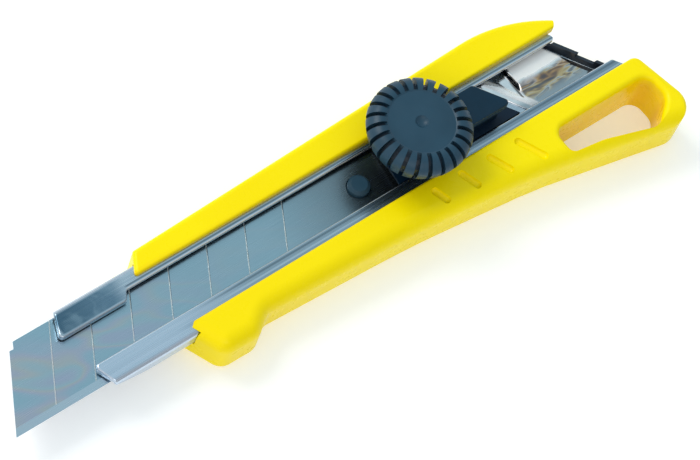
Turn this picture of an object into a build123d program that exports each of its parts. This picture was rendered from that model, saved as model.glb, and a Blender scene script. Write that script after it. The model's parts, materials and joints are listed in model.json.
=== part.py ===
from build123d import *
import os, math

# Snap-off utility knife, lying on the flat back of its handle.
# All lengths are millimetres.  Design coordinates: x runs along the knife from
# the blade tip to the hanging end, y runs from the cutting edge to the blade's
# spine, z runs up from the flat back.  On export every piece is moved so that
# the origin is the centre of the whole knife's footprint, on the back plane.

# ---- driving dimensions ------------------------------------------------------
ORIGIN_X, ORIGIN_Y = 84.863, 3.620       # footprint centre in design coordinates

# blade
BLADE_W = 18.0                          # cutting edge to spine
BLADE_T = 0.5
BLADE_LEN = 100.4                       # along the cutting edge
BLADE_Y0 = -0.15                        # cutting edge line
BLADE_TOP = 8.2                         # height of the blade's upper face
SEG_PITCH = 10.0                        # one snap-off segment
SEG_COUNT = 8
SCORE_COT = 1 / math.tan(math.radians(60))
SCORE_W, SCORE_D = 0.34, 0.14
BEVEL_W = 1.65
HOLE_X, HOLE_Y, HOLE_D = 94.8, 8.75, 5.4

# steel channel (C section)
CH_Y0, CH_Y1 = -1.7, 18.6               # outer sides
CH_Z0, CH_Z1 = 5.5, 10.2                # outer underside and lip top
SHEET = 0.7
BEND_R = 1.25
LIP_LO, LIP_HI = 3.95, 14.5             # inner edges of the two lips
TAB_Y = 12.45                           # widened front tab of the upper lip

# handle
RAIL_LO, RAIL_HI = 1.05, 15.9           # inner walls of the two rails
TOP_FRONT, TOP_REAR = 11.3, 12.8        # top surface height at x=41 and x=166
EDGE_R = 1.2                            # rounding of the far and tail top edges
NEAR_R = 3.4                            # rounding of the top edge on the cutting side
BACK_R = 2.2                            # rounding of the back edges

# lock wheel
WH_X, WH_Y = 108.3, 9.0
WH_R, WH_R_TOP, WH_R_BOT = 11.7, 7.4, 9.8
WH_Z0, WH_Z1 = 17.2, 25.1
GROOVES = 24
STUD_R = 2.5
THREAD_LEAD = 0.8

# slider
BLK_Y0, BLK_Y1 = 5.1, 13.0
BLK_TOP = 16.7
REAR_SLOPE = 0.676                      # dx per dy of the slanted rear edges

os.makedirs("parts", exist_ok=True)


def prism(pts, z0, z1):
    """Vertical prism on a closed polygon of (x, y) points."""
    f = make_face(Polyline(*[(x, y) for x, y in pts], close=True))
    return Pos(0, 0, z0) * extrude(f, amount=z1 - z0, dir=(0, 0, 1))


def rprism(pts, radii, z0, z1):
    """Vertical prism on a closed polygon with rounded corners."""
    w = FilletPolyline(*[(x, y) for x, y in pts], radius=radii, close=True)
    return Pos(0, 0, z0) * extrude(make_face(w), amount=z1 - z0, dir=(0, 0, 1))


def box(x0, x1, y0, y1, z0, z1):
    return Pos((x0 + x1) / 2, (y0 + y1) / 2, (z0 + z1) / 2) * Box(x1 - x0, y1 - y0, z1 - z0)


def one(s):
    """The single largest solid of a result."""
    return sorted(s.solids(), key=lambda q: q.volume)[-1]


def soften(shape, edges, radii):
    """Fillet with the first radius that works, else leave the edges sharp."""
    edges = list(edges)
    for r in radii:
        try:
            s = fillet(edges, radius=r)
            if s.is_valid and len(s.solids()) == 1:
                return s
        except Exception:
            continue
    print("left sharp:", len(edges), "edges")
    return shape


# ---- handle ------------------------------------------------------------------
# Outer outline seen from above: nose with its finger stop, the long underside
# that falls away towards the tail, the tail end, and the crowned upper rail.
outline = [
    (33.75, 20.69), (46.9, -8.35), (55.6, -8.45), (60.2, -5.15), (99.5, -6.98),
    (131.6, -10.48), (171.5, -18.35), (163.8, 13.65), (145.2, 24.53)]
outline_r = [2.9, 3.6, 3.9, 3.6, 300, 160, 5.0, 3.2, 38.0]
blank = rprism(outline, outline_r, 0, 20)
slope = math.degrees(math.atan((TOP_REAR - TOP_FRONT) / 125.0))
lid = Pos(41, 0, TOP_FRONT) * Rot(0, -slope, 0) * Pos(60, 0, 15) * Box(300, 100, 30)
blank = one(blank - lid)
body = blank
top_edges = body.faces().sort_by(Axis.Z)[-1].edges()
body = soften(body, top_edges, [EDGE_R, 1.0, 0.8])
back_edges = body.faces().sort_by(Axis.Z)[0].edges()
body = soften(body, back_edges, [BACK_R, 1.8, 1.2])
# the cutting side is crowned with a larger rounding: same outline on that side
# and at the nose, running on past the tail and the far side
crown = rprism([(22.92, 45.0), (46.9, -8.35), (55.6, -8.45), (60.2, -5.15), (99.5, -6.98),
                (131.6, -10.48), (199.4, -23.83), (199.4, 45.0)],
               [5.0, 3.6, 3.9, 3.6, 300, 160, 5.0, 5.0], -1, 20)
crown = one(crown - lid)
crown = soften(crown, crown.faces().sort_by(Axis.Z)[-1].edges(), [NEAR_R, 3.0, 2.6])

# hanging hole through the tail: upright walls and a rounded rim on the sloping
# top, drawn square to that top
hole_pts = [(139.1, -3.95), (139.4, -10.3), (147.5, -11.4), (160.6, -15.4),
            (166.4, -10.6), (165.9, -3.95)]
hole_r = [2.6, 1.7, 9.0, 3.0, 3.6, 3.2]
hole = rprism(hole_pts, hole_r, -2, 30)


def flared(plate, cutter, z_rim, radius):
    """The cutter's share of a plate, widened by a rounded rim at one height."""
    holed = one(plate - cutter)
    x0, x1 = plate.bounding_box().min.X + 5, plate.bounding_box().max.X - 5
    rim = [e for e in holed.edges() if x0 < (e @ 0.5).X < x1 and -20 < (e @ 0.5).Y < 5
           and abs((e @ 0.5).Z - z_rim) < 0.05]
    return one(plate - soften(holed, rim, radius))


tilted = Pos(41, 0, TOP_FRONT) * Rot(0, -slope, 0)
flare_top = tilted * flared(box(88, 138, -35, 12, -4, 0),
                            rprism([(x - 41, y) for x, y in hole_pts], hole_r, -6, 4), 0, [1.3, 0.9])
plate = one(box(125, 185, -35, 12, 0, 20) - lid)
holed = one(plate - hole)
holed = one(holed - flare_top)
hole = one(plate - holed)

# front end: the upper rail starts at a slanted face, the nose stays ahead of it
front_cut = prism([(43.05, 0.2), (42.1, 2.0), (40.35, 15.9), (44.75, 23.5),
                   (28, 23.5), (28, 0.2)], -1, 30)
# tail end: everything behind the slanted end of the channel is open
tail_cut = make_face(Wire(
    [Edge.make_line((153.1, 16.0), (162.4, RAIL_LO)),
     Edge.make_line((162.4, RAIL_LO), (164.6, RAIL_LO)),
     Edge.make_three_point_arc((164.6, RAIL_LO), (166.1, 0.68), (167.2, -0.9)),
     Edge.make_line((167.2, -0.9), (173, -0.9)),
     Edge.make_line((173, -0.9), (173, 20.4)),
     Edge.make_line((173, 20.4), (156.5, 20.4)),
     Edge.make_three_point_arc((156.5, 20.4), (155.75, 17.7), (154.6, 16.0)),
     Edge.make_line((154.6, 16.0), (153.1, 16.0))]))
tail_cut = Pos(0, 0, -1) * extrude(tail_cut, amount=31, dir=(0, 0, 1))
body = one(body - front_cut - tail_cut)
front_edges = [e for e in body.edges()
               if abs((e @ 0.5).X - (40.35 + ((e @ 0.5).Y - 15.9) * 0.579)) < 0.35
               and (e @ 0.5).Y > 16.0 and (e @ 0.5).Z > 10.3]
body = soften(body, front_edges, [0.9, 0.6, 0.3])

# channel groove under the rails, and the open slot between the rails
groove = box(20, 180, CH_Y0 - 0.05, CH_Y1 + 0.05, CH_Z0, CH_Z1 + 0.05)
slot = prism([(20, RAIL_LO), (180, RAIL_LO), (180, 16.75), (152, 16.35), (118, 16.05),
              (70, RAIL_HI), (20, RAIL_HI - 0.05)], CH_Z1, 30)
nose_relief = prism([(45.1, RAIL_LO + 0.1), (42.9, -0.9), (30, -0.9), (30, RAIL_LO + 0.1)], CH_Z1, 30)
body = one(body - groove - slot - nose_relief)

# inner top edges of the rails
rail_edges = [e for e in body.edges()
              if (e @ 0.5).Z > 11.0 and e.length > 15
              and (abs((e @ 0.5).Y - RAIL_LO) < 0.3 or 15.6 < (e @ 0.5).Y < 16.6)]
body = soften(body, [e for e in rail_edges if (e @ 0.5).Y > 8], [0.6, 0.4, 0.2])
rail_edges = [e for e in body.edges()
              if (e @ 0.5).Z > 11.0 and e.length > 15 and abs((e @ 0.5).Y - RAIL_LO) < 0.3]
body = soften(body, rail_edges, [0.6, 0.4, 0.2])
body = one(body & crown)
body = one(body - hole)


def top_z(x):
    return TOP_FRONT + (x - 41.0) * (TOP_REAR - TOP_FRONT) / 125.0


# four finger grip recesses, each longer than the one before
for (xa, ya), (xb, yb) in [((106.9, -2.0), (107.9, -4.9)), ((114.5, -1.8), (115.9, -5.6)),
                           ((122.3, -2.0), (124.4, -6.5)), ((130.1, -2.1), (133.0, -7.8))]:
    ln = math.hypot(xb - xa, yb - ya)
    ang = math.degrees(math.atan2(yb - ya, xb - xa))
    zc = top_z((xa + xb) / 2) + 0.15
    rod = Pos(xa, ya, zc) * Rot(0, 0, ang) * (
        Pos(ln / 2, 0, 0) * Rot(0, 90, 0) * Cylinder(0.95, ln)
        + Sphere(0.95) + Pos(ln, 0, 0) * Sphere(0.95))
    body = body - rod

handle_body = body

# ---- steel channel -----------------------------------------------------------
# C section drawn in the y-z plane, then trimmed in plan.
sec = Plane.YZ * (Pos((CH_Y0 + CH_Y1) / 2, (CH_Z0 + CH_Z1) / 2)
                  * RectangleRounded(CH_Y1 - CH_Y0, CH_Z1 - CH_Z0, BEND_R))
sec_in = Plane.YZ * (Pos((CH_Y0 + CH_Y1) / 2, (CH_Z0 + CH_Z1) / 2)
                     * RectangleRounded(CH_Y1 - CH_Y0 - 2 * SHEET,
                                        CH_Z1 - CH_Z0 - 2 * SHEET, BEND_R - SHEET))
tube = extrude(sec - sec_in, amount=148, dir=(1, 0, 0))
tube = Pos(18, 0, 0) * tube
# opening between the lips; at the front the upper lip widens into a tab
opening = rprism(
    [(10, TAB_Y), (36.1, TAB_Y), (37.4, LIP_HI), (180, LIP_HI), (180, LIP_LO), (10, LIP_LO)],
    [0.2, 1.3, 0.7, 0.2, 0.2, 0.2], CH_Z1 - SHEET - 0.2, CH_Z1 + 1)
# front ends of tab and lower lip, cut through all heights
nose_lo = rprism([(21.55, LIP_LO + 0.05), (23.9, -2.6), (5, -2.6), (5, LIP_LO + 0.05)],
                 [0.05, 0.05, 0.05, 0.05], 0, 20)
nose_hi = rprism([(19.05, TAB_Y - 0.05), (22.0, 19.5), (5, 19.5), (5, TAB_Y - 0.05)],
                 [0.05, 0.05, 0.05, 0.05], 0, 20)
nose_mid = box(5, 23.2, LIP_LO - 0.3, TAB_Y + 0.3, 0, CH_Z1 - SHEET - 0.1)
nose_floor = prism([(22.3, 19.5), (23.9, -2.6), (5, -2.6), (5, 19.5)], 0, CH_Z0 + SHEET + 0.6)
end_cut = prism([(153.9, 19.5), (153.9, 16.6), (163.1, 3.4), (164.7, 1.2), (166.6, -3.0),
                 (180, -3.0), (180, 19.5)], 0, 20)
# the side walls rise towards the front end
nose_rise = Plane.XZ * make_face(Polyline((10, 9.15), (22.6, 9.15), (24.0, 8.75), (27.2, 7.75),
                                          (30.0, 7.0), (37.6, CH_Z0), (37.6, 0), (10, 0), close=True))
nose_rise = Pos(0, 40, 0) * extrude(nose_rise, amount=80)
channel = one(tube - opening - nose_lo - nose_hi - nose_mid - nose_floor - end_cut - nose_rise)
corner = [e for e in channel.edges().filter_by(Axis.Z)
          if (e @ 0.5).Z > 9.4 and e.length < 0.75 and
          ((abs((e @ 0.5).X - 21.55) < 0.4 and abs((e @ 0.5).Y - LIP_LO) < 0.3)
           or (abs((e @ 0.5).X - 19.05) < 0.4 and abs((e @ 0.5).Y - TAB_Y) < 0.3)
           or ((e @ 0.5).X > 150 and (abs((e @ 0.5).Y - LIP_LO) < 0.2 or abs((e @ 0.5).Y - LIP_HI) < 0.2)))]
channel = soften(channel, corner, [0.9, 0.6, 0.3])
# hems turned down along the free edges of the tab and the narrow lip's end
hem_lo, hem_hi = 8.72, CH_Z1 - SHEET + 0.1
ring = rprism([(19.05, TAB_Y), (36.4, TAB_Y), (36.4, 17.0), (20.97, 17.0)], [0.9, 0.3, 0.3, 0.3], hem_lo, hem_hi)
core_cut = rprism([(19.75, TAB_Y + 0.5), (40, TAB_Y + 0.5), (40, 19), (22.45, 19)], [0.5, 0.3, 0.3, 0.3], 0, 20)
far_hem = (ring - core_cut) & box(10, 36.2, TAB_Y, 17.0, 0, 20)
near_hem = prism([(21.6, LIP_LO - 0.9), (22.1, LIP_LO - 0.9), (23.85, -0.6), (23.3, -0.6)], hem_lo, hem_hi)
channel = one(channel + far_hem + near_hem)
lip_edges = [e for e in channel.edges()
             if e.bounding_box().min.Z > CH_Z1 - 0.02 and e.length > 0.3
             and -1.2 < (e @ 0.5).Y < 18.0
             and not ((e @ 0.5).X > 26 and ((e @ 0.5).Y < LIP_LO - 0.2 or (e @ 0.5).Y > LIP_HI + 0.2))]
channel = soften(channel, lip_edges, [0.4, 0.3, 0.2, 0.12])
blade_channel = channel

# ---- blade ---------------------------------------------------------------------
yt, ys = BLADE_Y0, BLADE_Y0 + BLADE_W
blade_plan = [(yt * SCORE_COT, yt), (BLADE_LEN + yt * SCORE_COT, yt),
              (BLADE_LEN + ys * SCORE_COT, ys), (11.25, ys), (10.45, 16.35), (16.42 * SCORE_COT, 16.42)]
zb = BLADE_TOP - BLADE_T
blade = prism(blade_plan, zb, BLADE_TOP)
# ground bevels on both faces of the cutting edge
for zz, sgn in ((BLADE_TOP, 1), (zb, -1)):
    tri = make_face(Polyline((yt - 0.2, zz + sgn * 0.5), (yt - 0.2, zz - sgn * 0.235),
                             (yt, zz - sgn * 0.21), (yt + BEVEL_W, zz),
                             (yt + BEVEL_W, zz + sgn * 0.5), close=True))
    tri = extrude(Plane.YZ * tri, amount=130, dir=(1, 0, 0))
    blade = blade - Pos(-10, 0, 0) * tri
# score lines between the segments: V grooves in the upper face
for k in range(1, SEG_COUNT):
    ya, yb = yt + BEVEL_W, ys + 0.4
    ln = math.hypot((yb - ya) * SCORE_COT, yb - ya)
    v = make_face(Polyline((-SCORE_W / 2, 0.02), (SCORE_W / 2, 0.02), (0, -SCORE_D), close=True))
    v = extrude(Plane.YZ * v, amount=ln, dir=(1, 0, 0))
    blade = blade - Pos(SEG_PITCH * k + ya * SCORE_COT, ya, BLADE_TOP) * Rot(0, 0, 60) * v
blade = blade - Pos(HOLE_X, HOLE_Y, BLADE_TOP) * Cylinder(HOLE_D / 2, 4)
snap_blade = one(blade)

# ---- blade carrier ---------------------------------------------------------------
# Runs inside the channel.  Its front arm lies under the blade and carries the
# peg; behind the blade it rises between the lips and carries flanges below them.
def rear_x(y, x_at=135.1, y_at=5.7):
    return x_at + (y_at - y) * REAR_SLOPE


FL_LO, FL_HI = -0.6, 17.5               # side edges of the flanges
arm = rprism([(90.3, 1.6), (108.6, 1.6), (108.6, 16.0), (90.3, 16.0)], [3, 0.3, 0.3, 3],
             6.28, BLADE_TOP - BLADE_T - 0.05)
web = box(107.5, 117.2, FL_LO, FL_HI, 7.15, BLADE_TOP - BLADE_T - 0.05)
# the web starts behind the slanted tail of the blade
riser = prism([(114.7, FL_LO), (117.2, FL_LO), (117.2, FL_HI), (114.7, FL_HI)], 7.15, 9.3)
flange = prism([(114.7, FL_LO), (rear_x(FL_LO), FL_LO), (rear_x(FL_HI), FL_HI), (114.7, FL_HI)], 8.2, 9.3)
deck = prism([(114.7, LIP_LO + 0.15), (rear_x(LIP_LO + 0.15), LIP_LO + 0.15),
              (rear_x(LIP_HI - 0.2), LIP_HI - 0.2), (114.7, LIP_HI - 0.2)], 8.2, 10.1)
deck_front = prism([(102.2, LIP_LO + 0.15), (114.8, LIP_LO + 0.15),
                    (114.8, LIP_HI - 0.2), (103.2, LIP_HI - 0.2)], 9.52, 10.1)
peg = Pos(HOLE_X, HOLE_Y - 0.05, 0) * (
    Pos(0, 0, (6.4 + 9.95) / 2) * Cylinder(2.5, 9.95 - 6.4))
peg = chamfer(peg.edges().filter_by(GeomType.CIRCLE).sort_by(Axis.Z)[-1], 0.7)
carrier = arm + web + riser + flange + deck + deck_front + peg
carrier = carrier - Pos(WH_X, WH_Y, 10) * Cylinder(STUD_R + 0.05, 4)
carrier = one(carrier)
blade_carrier = carrier

# ---- slider block -------------------------------------------------------------------
# Raised saddle on the carrier: a narrow neck under an overhanging cap plate.
NECK = 0.75
cap_pts = [(102.6, BLK_Y0), (132.9, BLK_Y0), (127.5, BLK_Y1), (102.6, BLK_Y1)]
cap = rprism(cap_pts, [1.2, 0.9, 1.0, 1.2], BLK_TOP - 2.0, BLK_TOP)
cap = soften(cap, cap.faces().sort_by(Axis.Z)[-1].edges(), [0.3, 0.2])
neck = rprism([(103.5, BLK_Y0 + NECK), (131.4, BLK_Y0 + NECK), (127.0, BLK_Y1 - NECK),
               (103.5, BLK_Y1 - NECK)], [0.8, 0.5, 0.5, 0.8], 10.1, BLK_TOP - 1.9)
slider_block = cap + neck - Pos(WH_X, WH_Y, 13) * Cylinder(STUD_R + 0.05, 12)
slider_block = one(slider_block)

# ---- thrust washer ---------------------------------------------------------------------
thrust_washer = Pos(WH_X, WH_Y, BLK_TOP + 0.225) * (Cylinder(5.6, 0.45) - Cylinder(STUD_R + 0.1, 1))

# ---- clamp bolt --------------------------------------------------------------------------
# Square pressure plate below the lips with a threaded stud welded to it.
plate = rprism([(103.6, 1.4), (114.2, 1.4), (114.2, 16.6), (103.6, 16.6)], [1.2] * 4, 8.65, 9.45)
stud = Pos(WH_X, WH_Y, (9.0 + 22.0) / 2) * Cylinder(STUD_R, 22.0 - 9.0)
stud = chamfer(stud.edges().filter_by(GeomType.CIRCLE).sort_by(Axis.Z)[-1], 0.5)
clamp_bolt = one(plate + stud)

# ---- wheel nut ---------------------------------------------------------------------------
wheel_nut = Pos(WH_X, WH_Y, 19.9) * (Cylinder(4.6, 5.0) - Cylinder(STUD_R + 0.05, 8))
wheel_nut = wheel_nut - Pos(WH_X, WH_Y, 19.9) * (Cylinder(6, 0.6) - Cylinder(4.2, 0.6))
wheel_nut = one(wheel_nut)

# ---- lock wheel -----------------------------------------------------------------------------
# Revolved knob: flat top, domed shoulder, slightly tapered skirt, moulding dimple
# in the middle and radial grooves over the shoulder and down the skirt.
def wheel_profile(off=0.0, top_r=WH_R_TOP):
    z0, z1 = WH_Z0, WH_Z1
    return [(top_r, z1 - 0.32 - off), (8.9 - 0.4 * off, z1 - 0.02 - off),
            (10.55 - 0.8 * off, z1 - 0.75 - 0.75 * off), (WH_R - 0.05 - off, z1 - 2.3 - 0.2 * off),
            (WH_R - 0.1 - off, 21.5), (11.2 - off, 20.0), (10.4 - off, 18.3),
            (WH_R_BOT - off, z0)]


def revolve_region(left, pts):
    c = Spline(*[(x, 0, z) for x, z in pts[:5]])
    tail = Polyline(*[(x, 0, z) for x, z in pts[4:]])
    loop = Polyline((pts[-1][0], 0, pts[-1][1]), (left, 0, pts[-1][1]), (left, 0, pts[0][1]),
                    (pts[0][0], 0, pts[0][1]))
    f = make_face(Wire(list(c.edges()) + list(tail.edges()) + list(loop.edges())))
    return revolve(f, axis=Axis.Z, revolution_arc=360)


full = revolve_region(0.0, wheel_profile())
# one radial groove: floor line in the x-z plane, open to the outside
floor_line = [(7.55, 27), (7.55, 25.0), (8.1, 24.2), (9.0, 23.9), (9.8, 23.3), (10.4, 22.3),
              (10.4, 21.3), (10.0, 19.9), (9.2, 18.2), (8.9, 17.5), (8.9, 16.0), (14, 16.0), (14, 27)]
cutter = Plane.XZ * make_face(Polyline(*floor_line, close=True))
cutter = Pos(0, 0.475, 0) * extrude(cutter, amount=0.95)
wheel = full
wheel = wheel - [Rot(0, 0, 360.0 / GROOVES * k + 3.0) * cutter for k in range(GROOVES)]
wheel = wheel - Pos(0, 0, WH_Z1 + 0.9) * Sphere(1.95)
wheel = wheel - Pos(0, 0, 19.8) * Cylinder(4.6, 5.2)
wheel = wheel - Pos(0, 0, 17.2) * Cylinder(5.6, 0.1)
lock_wheel = Pos(WH_X, WH_Y, 0) * one(wheel)

# ---- tail clip --------------------------------------------------------------------------------
# Plated sheet on the channel floor: a raised bead at its front, and a raised
# pillow whose lower side ramps back down to the sheet.
def slant(x15, y):
    return x15 + (15.3 - y) * 0.66


sheet = prism([(slant(133.2, 17.3), 17.3), (slant(133.2, -0.4), -0.4),
               (slant(152.7, -0.4), -0.4), (slant(152.7, 17.3), 17.3)], 6.22, 6.62)
pillow_sec = make_face(Polyline((15.0, 6.5), (15.0, 7.35), (14.4, 7.85), (11.2, 7.85),
                                (8.6, 7.3), (6.6, 6.6), (6.3, 6.5), close=True))
pillow = extrude(Plane.YZ * pillow_sec, amount=20, dir=(1, 0, 0))
pillow = Pos(139.0, 0, 0) * pillow
trim = prism([(141.2, 16), (142.0, 5.5), (157.3, 5.5), (slant(151.2, 16), 16)], 6, 9)
pillow = pillow & trim
bead = Pos(slant(135.2, 9.9), 9.9, 5.8) * Rot(0, 0, math.degrees(math.atan2(-1, 0.66))) \
    * Rot(0, 90, 0) * Cylinder(1.2, 12.0)
bead = bead & box(130, 150, 4.2, 15.6, 6.3, 8)
tail_clip = one(sheet + pillow + bead)

# ---- end cap ---------------------------------------------------------------------------------
# Moulded plug across the slanted tail: low wall with two lugs that reach
# between the lips.
def cap_strip(y0, y1, z0, z1, xo=153.55, t=0.85):
    return prism([(slant(xo - t, y0), y0), (slant(xo, y0), y0), (slant(xo, y1), y1),
                  (slant(xo - t, y1), y1)], z0, z1)


end_cap = (cap_strip(-0.7, 17.6, 6.7, 8.4) + cap_strip(9.3, 14.3, 8.3, 9.5)
           + cap_strip(4.15, 5.6, 8.3, 9.5))
end_cap = one(end_cap)

# ---- export -----------------------------------------------------------------------------------
NODES = {
    "handle_body": handle_body, "blade_channel": blade_channel, "snap_blade": snap_blade,
    "blade_carrier": blade_carrier, "slider_block": slider_block, "thrust_washer": thrust_washer,
    "clamp_bolt": clamp_bolt, "wheel_nut": wheel_nut, "lock_wheel": lock_wheel,
    "tail_clip": tail_clip, "end_cap": end_cap}
lo, hi = [1e9] * 3, [-1e9] * 3
for name, shape in NODES.items():
    s = Pos(-ORIGIN_X, -ORIGIN_Y, 0) * shape
    s = one(s)
    export_step(s, "parts/%s.step" % name)
    b = s.bounding_box()
    for i, (a, c) in enumerate(((b.min.X, b.max.X), (b.min.Y, b.max.Y), (b.min.Z, b.max.Z))):
        lo[i], hi[i] = min(lo[i], a), max(hi[i], c)
print("box", [round(v, 3) for v in lo], [round(v, 3) for v in hi])
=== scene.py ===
import bpy
import bmesh
import json
import math
from mathutils import Matrix, Vector


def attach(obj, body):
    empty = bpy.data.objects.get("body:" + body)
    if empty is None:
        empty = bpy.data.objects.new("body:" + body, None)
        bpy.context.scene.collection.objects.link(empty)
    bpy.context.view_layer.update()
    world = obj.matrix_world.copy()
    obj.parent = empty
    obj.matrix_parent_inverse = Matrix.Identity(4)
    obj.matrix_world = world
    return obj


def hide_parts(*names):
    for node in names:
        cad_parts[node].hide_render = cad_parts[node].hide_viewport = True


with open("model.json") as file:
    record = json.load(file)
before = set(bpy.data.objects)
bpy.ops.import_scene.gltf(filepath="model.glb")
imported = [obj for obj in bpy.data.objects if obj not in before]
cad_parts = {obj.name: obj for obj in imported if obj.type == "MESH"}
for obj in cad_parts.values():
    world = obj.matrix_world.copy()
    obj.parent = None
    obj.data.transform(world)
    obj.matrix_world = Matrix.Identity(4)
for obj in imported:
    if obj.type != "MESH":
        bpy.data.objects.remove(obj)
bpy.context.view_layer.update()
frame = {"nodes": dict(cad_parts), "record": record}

# Row frame in metres.  Millimetre helpers below use the part's drawing
# coordinates: x from the blade tip, y from the cutting edge, z from the back.
OX, OY = 84.863, 3.620


def mm(x, y, z):
    return Vector(((x - OX) / 1000.0, (y - OY) / 1000.0, z / 1000.0))


scene = bpy.context.scene
scene.view_settings.view_transform = "Standard"
scene.view_settings.look = "None"
scene.view_settings.exposure = 0.0
scene.view_settings.gamma = 1.0

NODES = frame["nodes"]


# ------------------------------------------------------------------ node helper
class Mat:
    """Small builder for node materials; inputs may be numbers or sockets."""

    def __init__(self, name):
        self.m = bpy.data.materials.new(name)
        self.m.use_nodes = True
        self.nt = self.m.node_tree
        self.nt.nodes.clear()
        self.out = self.nt.nodes.new("ShaderNodeOutputMaterial")
        self.bsdf = self.nt.nodes.new("ShaderNodeBsdfPrincipled")
        self.nt.links.new(self.bsdf.outputs[0], self.out.inputs[0])
        self.tc = None

    def put(self, sock, v):
        if isinstance(v, bpy.types.NodeSocket):
            self.nt.links.new(v, sock)
        else:
            sock.default_value = v

    def set(self, name, v):
        self.put(self.bsdf.inputs[name], v)

    def obj(self):
        if self.tc is None:
            self.tc = self.nt.nodes.new("ShaderNodeTexCoord")
        return self.tc.outputs["Object"]

    def math(self, op, a, b=None, c=None, clamp=False):
        n = self.nt.nodes.new("ShaderNodeMath")
        n.operation = op
        n.use_clamp = clamp
        self.put(n.inputs[0], a)
        if b is not None:
            self.put(n.inputs[1], b)
        if c is not None:
            self.put(n.inputs[2], c)
        return n.outputs[0]

    def xyz(self):
        """Drawing coordinates in millimetres as three sockets."""
        s = self.nt.nodes.new("ShaderNodeSeparateXYZ")
        self.nt.links.new(self.obj(), s.inputs[0])
        x = self.math("MULTIPLY_ADD", s.outputs[0], 1000.0, OX)
        y = self.math("MULTIPLY_ADD", s.outputs[1], 1000.0, OY)
        z = self.math("MULTIPLY", s.outputs[2], 1000.0)
        return x, y, z

    def vec(self, x, y, z):
        n = self.nt.nodes.new("ShaderNodeCombineXYZ")
        self.put(n.inputs[0], x)
        self.put(n.inputs[1], y)
        self.put(n.inputs[2], z)
        return n.outputs[0]

    def noise(self, vec, scale, detail=3.0, rough=0.5, distort=0.0):
        n = self.nt.nodes.new("ShaderNodeTexNoise")
        n.noise_dimensions = "3D"
        self.put(n.inputs["Vector"], vec)
        n.inputs["Scale"].default_value = scale
        n.inputs["Detail"].default_value = detail
        n.inputs["Roughness"].default_value = rough
        n.inputs["Distortion"].default_value = distort
        return n.outputs["Fac"]

    def ramp(self, fac, stops, interp="LINEAR"):
        n = self.nt.nodes.new("ShaderNodeValToRGB")
        n.color_ramp.interpolation = interp
        el = n.color_ramp.elements
        while len(el) > 1:
            el.remove(el[-1])
        for i, (p, c) in enumerate(stops):
            e = el[0] if i == 0 else el.new(p)
            e.position = p
            e.color = (c[0], c[1], c[2], 1.0) if not isinstance(c, float) else (c, c, c, 1.0)
        self.put(n.inputs[0], fac)
        return n.outputs[0]

    def span(self, v, a, b, lo=0.0, hi=1.0, smooth=True):
        """v from a..b mapped to lo..hi, clamped."""
        n = self.nt.nodes.new("ShaderNodeMapRange")
        n.interpolation_type = "SMOOTHSTEP" if smooth else "LINEAR"
        n.clamp = True
        self.put(n.inputs[0], v)
        for i, k in enumerate((a, b, lo, hi)):
            n.inputs[1 + i].default_value = k
        return n.outputs[0]

    def band(self, v, a, b, c, d):
        """0 below a, 1 between b and c, 0 above d."""
        return self.math("MULTIPLY", self.span(v, a, b), self.span(v, c, d, 1.0, 0.0))

    def mix(self, fac, a, b):
        n = self.nt.nodes.new("ShaderNodeMix")
        n.data_type = "RGBA"
        self.put(n.inputs[0], fac)
        for s, v in ((n.inputs[6], a), (n.inputs[7], b)):
            if isinstance(v, tuple) and len(v) == 3:
                v = (v[0], v[1], v[2], 1.0)
            self.put(s, v)
        return n.outputs[2]

    def bump(self, height, strength, dist):
        n = self.nt.nodes.new("ShaderNodeBump")
        n.inputs["Strength"].default_value = strength
        n.inputs["Distance"].default_value = dist
        self.put(n.inputs["Height"], height)
        self.nt.links.new(n.outputs[0], self.bsdf.inputs["Normal"])
        return n

    def mul(self, *a):
        r = a[0]
        for k in a[1:]:
            r = self.math("MULTIPLY", r, k)
        return r


def srgb(r, g, b):
    return tuple(((c / 255.0) / 12.92 if c / 255.0 <= 0.04045 else ((c / 255.0 + 0.055) / 1.055) ** 2.4)
                 for c in (r, g, b))


# -------------------------------------------------------------------- materials
def yellow_plastic():
    m = Mat("handle_plastic")
    v = m.obj()
    x, y, z = m.xyz()
    cloud = m.noise(v, 26.0, 2.0, 0.45)
    col = m.mix(m.span(cloud, 0.3, 0.7), (0.96, 0.745, 0.0006), (0.985, 0.80, 0.0008))
    # painted shade: deeper amber where the wall stands between the rails or inside the hole
    rail_wall_shade = m.mul(m.span(z, 12.2, 9.8), m.band(y, 0.3, 0.9, 16.6, 17.3))
    # distance inside the long near wall, so the outside stays plain
    near = m.math("ADD", m.math("MULTIPLY_ADD", x, 0.1972, 10.48 - 0.1972 * 131.6), y)
    hole_shade = m.mul(m.band(x, 138.6, 139.4, 165.8, 166.8), m.band(y, -15.4, -14.6, -4.6, -3.7),
                 m.span(near, 0.9, 1.3), m.span(z, 12.4, 9.0))
    amber_shade = m.math("MAXIMUM", rail_wall_shade, hole_shade)
    col = m.mix(m.math("MULTIPLY", amber_shade, 0.5), col, (0.80, 0.42, 0.006))
    m.set("Base Color", col)
    m.set("Roughness", m.span(m.noise(v, 320.0, 3.0, 0.6), 0.3, 0.7, 0.24, 0.33))
    m.set("Specular IOR Level", 0.13)
    return m.m


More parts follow.
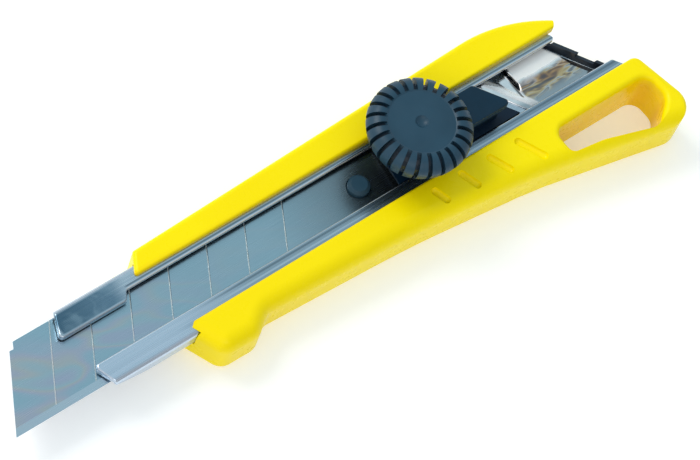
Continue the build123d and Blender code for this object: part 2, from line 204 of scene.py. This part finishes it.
def channel_steel():
    m = Mat("channel_steel")
    v = m.obj()
    x, y, z = m.xyz()
    rolled = m.noise(m.vec(m.math("MULTIPLY", x, 0.10), m.math("MULTIPLY", y, 3.4),
                           m.math("MULTIPLY", z, 3.4)), 1.0, 4.0, 0.6)
    fine = m.noise(m.vec(m.math("MULTIPLY", x, 0.05), m.math("MULTIPLY", y, 4.5),
                         m.math("MULTIPLY", z, 6.0)), 1.0, 2.0, 0.5)
    base = m.mix(m.span(rolled, 0.28, 0.72), (0.40, 0.49, 0.57), (0.56, 0.64, 0.71))
    # painted shade: the wide front tab has a dark blue middle, paler towards the handle
    wob = m.math("MULTIPLY_ADD", m.noise(v, 160.0, 2.0, 0.5, 0.4), 1.0, -0.5)
    tab_shade_mask = m.mul(m.band(m.math("ADD", x, wob), 19.8, 20.7, 33.5, 38.5),
                m.band(m.math("ADD", y, m.math("MULTIPLY", wob, 0.3)), 12.75, 13.15, 17.2, 18.1))
    tab_shade = m.mix(m.span(m.math("ADD", x, wob), 20.0, 36.0), (0.050, 0.125, 0.190), (0.135, 0.235, 0.320))
    mottle = m.noise(v, 240.0, 2.0, 0.5, 0.6)
    tab_shade = m.mix(m.span(mottle, 0.45, 0.68, 0.0, 0.45), tab_shade, (0.30, 0.42, 0.50))
    base = m.mix(m.math("MULTIPLY", tab_shade_mask, 0.92), base, tab_shade)
    # the narrow lip: pale steel at the front, with painted shade darkening it towards and past the wheel
    lip = m.span(y, 4.3, 3.7)
    lip_steel_and_shade = m.mix(m.span(x, 38.0, 66.0), (0.58, 0.67, 0.78), (0.31, 0.40, 0.46))
    lip_steel_and_shade = m.mix(m.span(x, 80.0, 120.0), lip_steel_and_shade, (0.24, 0.32, 0.39))
    base = m.mix(m.mul(lip, 0.85), base, lip_steel_and_shade)
    low = m.math("MULTIPLY_ADD", fine, 0.25, y)
    # painted shade line along the lip
    lip_shade_line = m.mul(lip, m.band(low, 0.55, 0.85, 1.25, 1.65))
    base = m.mix(m.mul(lip_shade_line, m.span(x, 40.0, 50.0, 0.12, 0.62)), base, (0.22, 0.32, 0.42))
    inside = m.mul(lip, m.span(x, 44.0, 60.0))
    # painted highlight line along the lip
    base = m.mix(m.mul(inside, m.band(low, 1.9, 2.1, 2.25, 2.5), 0.55), base, (0.62, 0.72, 0.80))
    # painted shadow line along the lip
    base = m.mix(m.mul(inside, m.band(low, 2.9, 3.1, 3.35, 3.5), 0.65), base, (0.12, 0.17, 0.21))
    # painted highlight along the lip's inner edge
    edge = m.band(m.math("MULTIPLY_ADD", fine, 0.10, y), 3.62, 3.74, 4.1, 4.3)
    base = m.mix(m.math("MULTIPLY", edge, 0.6), base, (0.78, 0.84, 0.88))
    # painted shadow line and painted highlight: a thin dark line and a bright inner edge on the far lip
    far = m.span(x, 37.0, 38.0)
    base = m.mix(m.mul(far, m.band(y, 14.95, 15.1, 15.3, 15.5), 0.75), base, (0.10, 0.15, 0.20))
    base = m.mix(m.mul(far, m.band(y, 14.3, 14.4, 14.75, 14.95), 0.7), base, (0.92, 0.94, 0.96))
    m.set("Base Color", base)
    m.set("Metallic", 1.0)
    m.set("Roughness", m.span(fine, 0.25, 0.75, 0.20, 0.32))
    m.bump(fine, 0.05, 0.00002)
    return m.m


def blade_steel():
    m = Mat("blade_steel")
    v = m.obj()
    x, y, z = m.xyz()
    cot = 1.0 / math.tan(math.radians(60.0))
    u = m.math("MULTIPLY_ADD", y, -cot, x)          # along the blade, following the score angle
    grind = m.noise(m.vec(m.math("MULTIPLY", x, 0.10), m.math("MULTIPLY", y, 5.0), 0.0), 1.0, 2.0, 0.5)
    body = m.mix(m.span(grind, 0.25, 0.75), (0.335, 0.480, 0.550), (0.365, 0.515, 0.590))
    # tinted colours: broad soft patches that fade away from the tip
    swirl = m.vec(m.math("MULTIPLY", x, 0.060), m.math("MULTIPLY_ADD", x, 0.05, m.math("MULTIPLY", y, 0.13)), 3.7)
    hue = m.noise(swirl, 1.0, 1.0, 0.4, 0.25)
    tint = m.ramp(hue, [(0.30, (0.33, 0.52, 0.60)), (0.44, (0.345, 0.495, 0.575)), (0.50, (0.38, 0.49, 0.58)),
                        (0.54, (0.47, 0.47, 0.56)), (0.58, (0.50, 0.50, 0.50)), (0.62, (0.40, 0.52, 0.57)),
                        (0.72, (0.44, 0.46, 0.58))])
    body = m.mix(m.span(x, 14.0, 66.0, 0.85, 0.12), body, tint)
    # painted reflection of the wheel: darker towards the wheel
    body = m.mix(m.span(x, 24.0, 66.0, 0.0, 0.05), body, (0.185, 0.225, 0.245))
    body = m.mix(m.span(x, 68.0, 101.0, 0.0, 0.92), body, (0.165, 0.205, 0.225))
    # ground bevel
    bev = m.span(y, 1.62, 1.42)
    body = m.mix(m.math("MULTIPLY", bev, 0.85), body, (0.56, 0.66, 0.74))
    # score lines: painted highlight on the near wall, painted shade on the far wall
    d = m.math("PINGPONG", m.math("ADD", u, 5.0), 5.0)      # 5 at a score line, 0 half way
    sd = m.math("SUBTRACT", m.math("MODULO", m.math("ADD", u, 5.0), 10.0), 5.0)
    on = m.mul(m.band(u, 5.0, 5.1, 74.0, 75.0), m.span(y, 1.45, 1.6), m.span(z, 7.9, 8.0))
    score_highlight = m.mul(m.band(sd, -0.20, -0.14, 0.00, 0.06), on)
    score_shade = m.mul(m.band(sd, 0.00, 0.06, 0.16, 0.26), on)
    body = m.mix(m.math("MULTIPLY", score_shade, 0.4), body, (0.12, 0.15, 0.18))
    body = m.mix(m.math("MULTIPLY", score_highlight, 0.85), body, (0.86, 0.88, 0.86))
    m.set("Base Color", body)
    m.set("Metallic", 1.0)
    m.set("Roughness", m.math("ADD", m.span(grind, 0.25, 0.75, 0.22, 0.28), m.math("MULTIPLY", score_highlight, 0.4)))
    m.bump(grind, 0.012, 0.00001)
    return m.m


def dark_plastic(name, a, b, r0, r1, spec=0.45, grain=900.0):
    m = Mat(name)
    v = m.obj()
    cloud = m.noise(v, 90.0, 3.0, 0.5)
    m.set("Base Color", m.mix(m.span(cloud, 0.3, 0.7), a, b))
    m.set("Roughness", m.span(m.noise(v, 420.0, 3.0, 0.6), 0.3, 0.7, r0, r1))
    m.set("Specular IOR Level", spec)
    m.bump(m.noise(v, grain, 3.0, 0.6), 0.14, 0.00005)
    return m.m


def slider_plastic():
    m = Mat("slider_plastic")
    v = m.obj()
    x, y, z = m.xyz()
    cloud = m.noise(v, 90.0, 3.0, 0.5)
    col = m.mix(m.span(cloud, 0.3, 0.7), srgb(5, 35, 52), srgb(9, 43, 62))
    # painted shade: darker low down on the slider, behind its front end
    col = m.mix(m.mul(m.span(z, 16.0, 13.0), m.span(x, 98.5, 99.5), 0.7), col, srgb(3, 18, 38))
    col = m.mix(m.span(x, 99.0, 98.2), col, srgb(36, 64, 80))
    m.set("Base Color", col)
    m.set("Roughness", m.span(m.noise(v, 420.0, 3.0, 0.6), 0.3, 0.7, 0.32, 0.44))
    m.set("Specular IOR Level", 0.22)
    m.bump(m.noise(v, 900.0, 3.0, 0.6), 0.12, 0.00004)
    return m.m


def wheel_plastic():
    m = Mat("wheel_plastic")
    v = m.obj()
    x, y, z = m.xyz()
    cloud = m.noise(v, 90.0, 3.0, 0.5)
    col = m.mix(m.span(cloud, 0.3, 0.7), srgb(28, 60, 78), srgb(33, 67, 86))
    # painted shade on the floors between the ribs of the rim
    dx = m.math("SUBTRACT", x, 108.3)
    dy = m.math("SUBTRACT", y, 9.0)
    turn = m.math("MULTIPLY", m.math("SUBTRACT", m.math("ARCTAN2", dy, dx), math.radians(3.0)),
                  24.0 / (2.0 * math.pi))
    off = m.math("ABSOLUTE", m.math("SUBTRACT", turn, m.math("ROUND", turn)))
    rad = m.math("SQRT", m.math("ADD", m.mul(dx, dx), m.mul(dy, dy)))
    groove_shade = m.mul(m.span(m.mul(off, rad, 2.0 * math.pi / 24.0), 0.52, 0.44), m.span(rad, 7.6, 8.4))
    col = m.mix(m.math("MULTIPLY", groove_shade, 0.8), col, srgb(10, 26, 42))
    m.set("Base Color", col)
    m.set("Roughness", m.span(m.noise(v, 420.0, 3.0, 0.6), 0.3, 0.7, 0.36, 0.48))
    m.set("Specular IOR Level", 0.32)
    m.bump(m.noise(v, 900.0, 3.0, 0.6), 0.12, 0.00004)
    return m.m


def plain_steel():
    m = Mat("plain_steel")
    v = m.obj()
    turned = m.noise(v, 700.0, 3.0, 0.6)
    m.set("Base Color", m.mix(m.span(turned, 0.3, 0.7), (0.42, 0.44, 0.46), (0.58, 0.59, 0.61)))
    m.set("Metallic", 1.0)
    m.set("Roughness", m.span(turned, 0.3, 0.7, 0.22, 0.4))
    m.bump(turned, 0.1, 0.00003)
    return m.m


def brass():
    m = Mat("nut_brass")
    v = m.obj()
    turned = m.noise(v, 600.0, 3.0, 0.6)
    m.set("Base Color", m.mix(m.span(turned, 0.3, 0.7), (0.66, 0.47, 0.18), (0.82, 0.63, 0.30)))
    m.set("Metallic", 1.0)
    m.set("Roughness", m.span(turned, 0.3, 0.7, 0.2, 0.38))
    m.bump(turned, 0.1, 0.00003)
    return m.m


def clip_chrome():
    m = Mat("clip_chrome")
    v = m.obj()
    x, y, z = m.xyz()
    haze = m.noise(v, 260.0, 3.0, 0.55)
    wob = m.math("MULTIPLY_ADD", m.noise(v, 330.0, 2.0, 0.5), 1.2, -0.6)
    yy = m.math("ADD", y, wob)
    pillow = m.mul(m.span(x, 141.3, 141.9), m.span(m.math("MULTIPLY_ADD", y, 0.62, x), 162.4, 161.2))
    # painted highlight: white strip along the top of the pillow
    strip_highlight = m.mul(pillow, m.span(yy, 10.6, 11.5), m.span(y, 16.0, 15.4))
    # painted reflections on the pillow's long slope
    slope_reflection = m.mul(pillow, m.band(yy, 5.4, 7.4, 9.8, 10.9))
    # painted highlight along the rolled front bead
    bead = m.mul(m.band(m.math("MULTIPLY_ADD", y, 0.66, x), 144.3, 144.9, 146.3, 147.0),
                 m.band(y, 4.0, 5.5, 15.0, 16.0))
    white_highlight = m.math("MAXIMUM", strip_highlight, m.math("MULTIPLY", bead, 0.7))
    base = m.mix(m.span(haze, 0.3, 0.7), (0.78, 0.79, 0.80), (0.92, 0.92, 0.91))
    # painted reflections: streaked brown, tan and near-black colours for the slope
    reflection_streak = m.vec(m.math("MULTIPLY_ADD", y, 0.10, m.math("MULTIPLY", x, 0.16)), m.math("MULTIPLY", y, 0.55), 2.0)
    brown_reflection = m.ramp(m.noise(reflection_streak, 1.0, 1.5, 0.5, 0.9),
                   [(0.34, (0.05, 0.05, 0.06)), (0.42, (0.22, 0.13, 0.06)), (0.49, (0.60, 0.40, 0.14)),
                    (0.55, (0.55, 0.52, 0.48)), (0.62, (0.10, 0.11, 0.13)), (0.72, (0.45, 0.30, 0.12))])
    # painted reflection: darker grey-blue towards the cutting side
    base = m.mix(m.math("MULTIPLY", m.span(yy, 8.0, 5.6), 0.8), base, (0.27, 0.33, 0.37))
    base = m.mix(m.math("MULTIPLY", slope_reflection, 0.85), base, brown_reflection)
    base = m.mix(m.math("MULTIPLY", white_highlight, 0.9), base, (0.93, 0.93, 0.92))
    # painted shadow in the slit at the pillow's front end
    slit_shadow = m.mul(m.band(x, 140.65, 140.8, 141.1, 141.3), m.band(y, 7.2, 8.0, 12.2, 13.0))
    base = m.mix(m.math("MULTIPLY", slit_shadow, 0.8), base, (0.03, 0.035, 0.04))
    m.set("Base Color", base)
    m.set("Metallic", m.math("SUBTRACT", 1.0, m.math("MULTIPLY", white_highlight, 0.85)))
    m.set("Roughness", m.math("ADD", m.span(haze, 0.3, 0.7, 0.07, 0.14), m.math("MULTIPLY", white_highlight, 0.22)))
    m.bump(haze, 0.12, 0.00006)
    return m.m


MATS = {
    "handle_plastic": yellow_plastic(),
    "channel_steel": channel_steel(),
    "blade_steel": blade_steel(),
    "slider_plastic": slider_plastic(),
    "wheel_plastic": wheel_plastic(),
    "plain_steel": plain_steel(),
    "nut_brass": brass(),
    "clip_chrome": clip_chrome(),
    "cap_plastic": dark_plastic("cap_plastic", srgb(22, 32, 44), srgb(32, 44, 56), 0.3, 0.45),
}

SLOT = {s["node"]: s["material_slot"] for s in frame["record"]["subparts"]}
for name, o in NODES.items():
    o.data.materials.clear()
    o.data.materials.append(MATS[SLOT[name]])


def smooth_cad(o, deg=32.0):
    for p in o.data.polygons:
        p.use_smooth = True
    o.data.set_sharp_from_angle(angle=math.radians(deg))


for name in NODES:
    smooth_cad(NODES[name])


# ------------------------------------------------------------------- plated clip
def slant(x15, y):
    return x15 + (15.3 - y) * 0.66


def sm(a, b, v):
    t = max(0.0, min(1.0, (v - a) / (b - a)))
    return t * t * (3 - 2 * t)


def clip_height(x, y):
    """Upper surface of the plated sheet, drawing millimetres."""
    s = x - slant(0.0, y)                   # distance behind the slanted front line
    z = 6.62
    # rolled front bead, broken by two soft waves
    bead = math.exp(-((s - 135.3 - 0.25 * math.sin(y * 1.15)) / 0.95) ** 2)
    z += 0.36 * bead * sm(4.2, 6.0, y) * (1 - sm(14.6, 16.4, y))
    # pillow: steep front end, flat upper strip, long slope towards the cutting side
    lift = sm(140.9, 142.0, x + 0.12 * (y - 10)) * (1 - sm(151.4, 153.0, x + (y - 15.3) * 0.62))
    crest = 10.9 + 0.5 * math.sin((x - 141.0) * 0.55)
    top = (0.22 * sm(4.6, 7.4, y) + 0.98 * sm(crest - 2.7, crest, y)) * (1 - sm(15.2, 16.2, y))
    z += lift * min(top, 1.2)
    z -= 0.14 * math.exp(-((x - 140.9) / 0.30) ** 2) * sm(7.6, 8.4, y) * (1 - sm(12.4, 13.4, y))
    return z


def build_clip():
    nx, ny = 96, 84
    me = bpy.data.meshes.new("clip_plate")
    bm = bmesh.new()
    up, dn = [], []
    y0, y1 = -0.4, 17.3
    for j in range(ny + 1):
        y = y0 + (y1 - y0) * j / ny
        ru, rd = [], []
        for i in range(nx + 1):
            t = i / nx
            x = slant(133.2, y) + (152.7 - 133.2) * t
            z = clip_height(x, y)
            edge = min(1.0, min(t, 1 - t) * 19.5 / 0.18, min(y - y0, y1 - y) / 0.18)
            z -= 0.12 * (1 - edge) ** 2
            ru.append(bm.verts.new(mm(x, y, z)))
            rd.append(bm.verts.new(mm(x, y, max(6.22, z - 0.4))))
        up.append(ru)
        dn.append(rd)
    for j in range(ny):
        for i in range(nx):
            bm.faces.new((up[j][i], up[j][i + 1], up[j + 1][i + 1], up[j + 1][i]))
            bm.faces.new((dn[j][i], dn[j + 1][i], dn[j + 1][i + 1], dn[j][i + 1]))
    for i in range(nx):
        bm.faces.new((up[0][i], dn[0][i], dn[0][i + 1], up[0][i + 1]))
        bm.faces.new((up[ny][i], up[ny][i + 1], dn[ny][i + 1], dn[ny][i]))
    for j in range(ny):
        bm.faces.new((up[j][0], up[j + 1][0], dn[j + 1][0], dn[j][0]))
        bm.faces.new((up[j][nx], dn[j][nx], dn[j + 1][nx], up[j + 1][nx]))
    bmesh.ops.recalc_face_normals(bm, faces=bm.faces[:])
    bm.to_mesh(me)
    bm.free()
    for p in me.polygons:
        p.use_smooth = True
    me.set_sharp_from_angle(angle=math.radians(50))
    o = bpy.data.objects.new("clip_plate", me)
    scene.collection.objects.link(o)
    o.data.materials.append(MATS["clip_chrome"])
    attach(o, "tail_cap")
    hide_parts("tail_clip")
    return o


build_clip()

# ------------------------------------------------------------------------ floor
fme = bpy.data.meshes.new("floor")
fb = bmesh.new()
R = 6.0
fb.faces.new([fb.verts.new((sx * R, sy * R, -0.00002)) for sx, sy in ((-1, -1), (1, -1), (1, 1), (-1, 1))])
fb.to_mesh(fme)
fb.free()
floor = bpy.data.objects.new("floor", fme)
scene.collection.objects.link(floor)
fm = Mat("floor_paper")
fm.set("Base Color", fm.mix(fm.noise(fm.obj(), 3.0, 2.0), (0.86, 0.86, 0.86), (0.88, 0.88, 0.88)))
fm.set("Roughness", 0.9)
fm.set("Specular IOR Level", 0.1)
fm.set("Emission Color", (1.0, 1.0, 1.0, 1.0))
fm.set("Emission Strength", 0.26)
floor.data.materials.append(fm.m)

# ------------------------------------------------------------------------ light
world = bpy.data.worlds.new("studio")
scene.world = world
world.use_nodes = True
wn = world.node_tree
wn.nodes.clear()
wo = wn.nodes.new("ShaderNodeOutputWorld")
wb = wn.nodes.new("ShaderNodeBackground")
wt = wn.nodes.new("ShaderNodeTexCoord")
dot = wn.nodes.new("ShaderNodeVectorMath")
dot.operation = "DOT_PRODUCT"
wn.links.new(wt.outputs["Generated"], dot.inputs[0])
dot.inputs[1].default_value = Vector((0.41, 0.27, 0.87)).normalized()
wr = wn.nodes.new("ShaderNodeValToRGB")
el = wr.color_ramp.elements
el[0].position, el[0].color = 0.30, (1.0, 1.0, 1.0, 1.0)
el[1].position, el[1].color = 0.95, (0.62, 0.80, 0.88, 1.0)
e = el.new(0.70)
e.color = (0.80, 0.88, 0.94, 1.0)
wn.links.new(dot.outputs["Value"], wr.inputs[0])
wn.links.new(wr.outputs[0], wb.inputs[0])
wsep = wn.nodes.new("ShaderNodeSeparateXYZ")
wn.links.new(wt.outputs["Generated"], wsep.inputs[0])
wside = wn.nodes.new("ShaderNodeMapRange")
wside.clamp = True
wn.links.new(wsep.outputs[1], wside.inputs[0])
for i, k in enumerate((-0.85, 0.15, 0.50, 0.86)):
    wside.inputs[1 + i].default_value = k
wn.links.new(wside.outputs[0], wb.inputs[1])
wn.links.new(wb.outputs[0], wo.inputs[0])


def area(name, loc, target, size, power, colour=(1, 1, 1)):
    ld = bpy.data.lights.new(name, "AREA")
    ld.shape = "RECTANGLE"
    ld.size, ld.size_y = size
    ld.energy = power
    ld.color = colour
    o = bpy.data.objects.new(name, ld)
    scene.collection.objects.link(o)
    o.location = loc
    o.rotation_mode = "QUATERNION"
    o.rotation_quaternion = (Vector(target) - Vector(loc)).to_track_quat("-Z", "Y")
    return o


area("key", (-0.25, 0.80, 0.85), (0, 0, 0), (0.6, 0.6), 6.5, (1.0, 0.99, 0.96))
area("fill", (-0.45, -0.55, 0.70), (0, 0, 0), (0.7, 0.5), 1.6)

# ----------------------------------------------------------------------- camera
cam_data = bpy.data.cameras.new("camera")
cam = bpy.data.objects.new("camera", cam_data)
scene.collection.objects.link(cam)
scene.camera = cam
cam_data.sensor_fit = "HORIZONTAL"
cam_data.sensor_width = 36.0
cam_data.lens = 170.43
cam_data.clip_start, cam_data.clip_end = 0.05, 50.0
cam_data.dof.use_dof = False
right = Vector((0.78413, -0.58992, 0.19278))
upv = Vector((0.46715, 0.76552, 0.44246))
back = Vector((-0.40858, -0.25688, 0.87583))
rot = Matrix((right, upv, back)).transposed()
cam.rotation_mode = "QUATERNION"
cam.rotation_quaternion = rot.to_quaternion()
cam.location = mm(-201.550, -180.061, 627.043)

bpy.context.view_layer.update()
